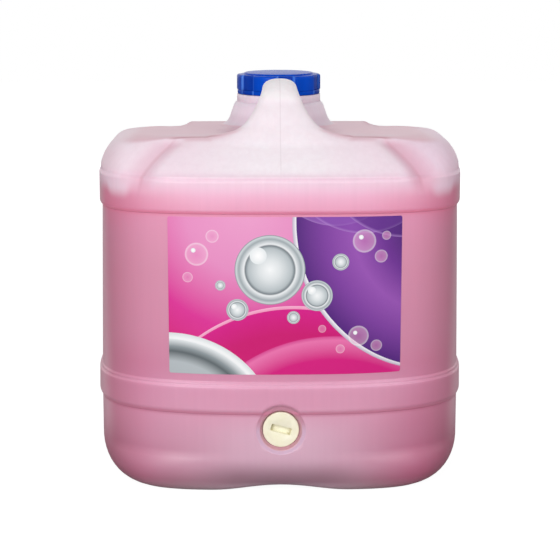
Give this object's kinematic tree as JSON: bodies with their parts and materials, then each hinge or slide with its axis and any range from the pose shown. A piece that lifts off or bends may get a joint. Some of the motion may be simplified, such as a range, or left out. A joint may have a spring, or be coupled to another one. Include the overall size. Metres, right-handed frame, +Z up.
{
  "type": "liquid soap refill drum",
  "caption": "Translucent blow-moulded drum of pink liquid hand soap, with a hollow carrying handle, a blue screw cap, a coin-slot bung low on the front wall and a printed front label.",
  "frame": {"origin": "on the floor at the middle of the drum's width and depth", "axes": "+Z up, -Y towards the front with the label and the bung, +X to the right seen from the front"},
  "size_m": [0.296, 0.2572, 0.3175],
  "materials": {
    "natural_hdpe": "translucent blow-moulded satin",
    "pink_liquid": "pearly liquid",
    "printed_film": "glossy printed film",
    "blue_polypropylene": "moulded satin gloss",
    "white_foam": "matt foam",
    "cream_plastic": "moulded satin",
    "black_rubber": "matt"
  },
  "bodies": {
    "drum": {"drum_body": "natural_hdpe", "hand_wash": "pink_liquid", "front_label": "printed_film", "tamper_ring": "blue_polypropylene"},
    "cap_carrier": {"cap_liner": "white_foam"},
    "cap": {"screw_cap": "blue_polypropylene"},
    "bung_carrier": {"bung_seal": "black_rubber"},
    "bung": {"bung": "cream_plastic"}
  },
  "joints": [
    {"name": "cap_lift", "type": "slide", "parent": "drum", "child": "cap_carrier", "axis": [0, 0, 1], "range_m": [0, 0.022]},
    {"name": "cap_turn", "type": "hinge", "parent": "cap_carrier", "child": "cap", "pos_m": [0, 0.042, 0.3172], "axis": [0, 0, 1], "range_deg": [0, 1445]},
    {"name": "bung_out", "type": "slide", "parent": "drum", "child": "bung_carrier", "axis": [0, -1, 0], "range_m": [0, 0.02]},
    {"name": "bung_turn", "type": "hinge", "parent": "bung_carrier", "child": "bung", "pos_m": [0, -0.1232, 0.0523], "axis": [0, -1, 0], "range_deg": [0, 2405]}
  ],
  "couplings": [
    {"joint": "cap_turn", "follows": "cap_lift", "rad_per_m": 1142.4},
    {"joint": "bung_turn", "follows": "bung_out", "rad_per_m": 2094.4}
  ]
}
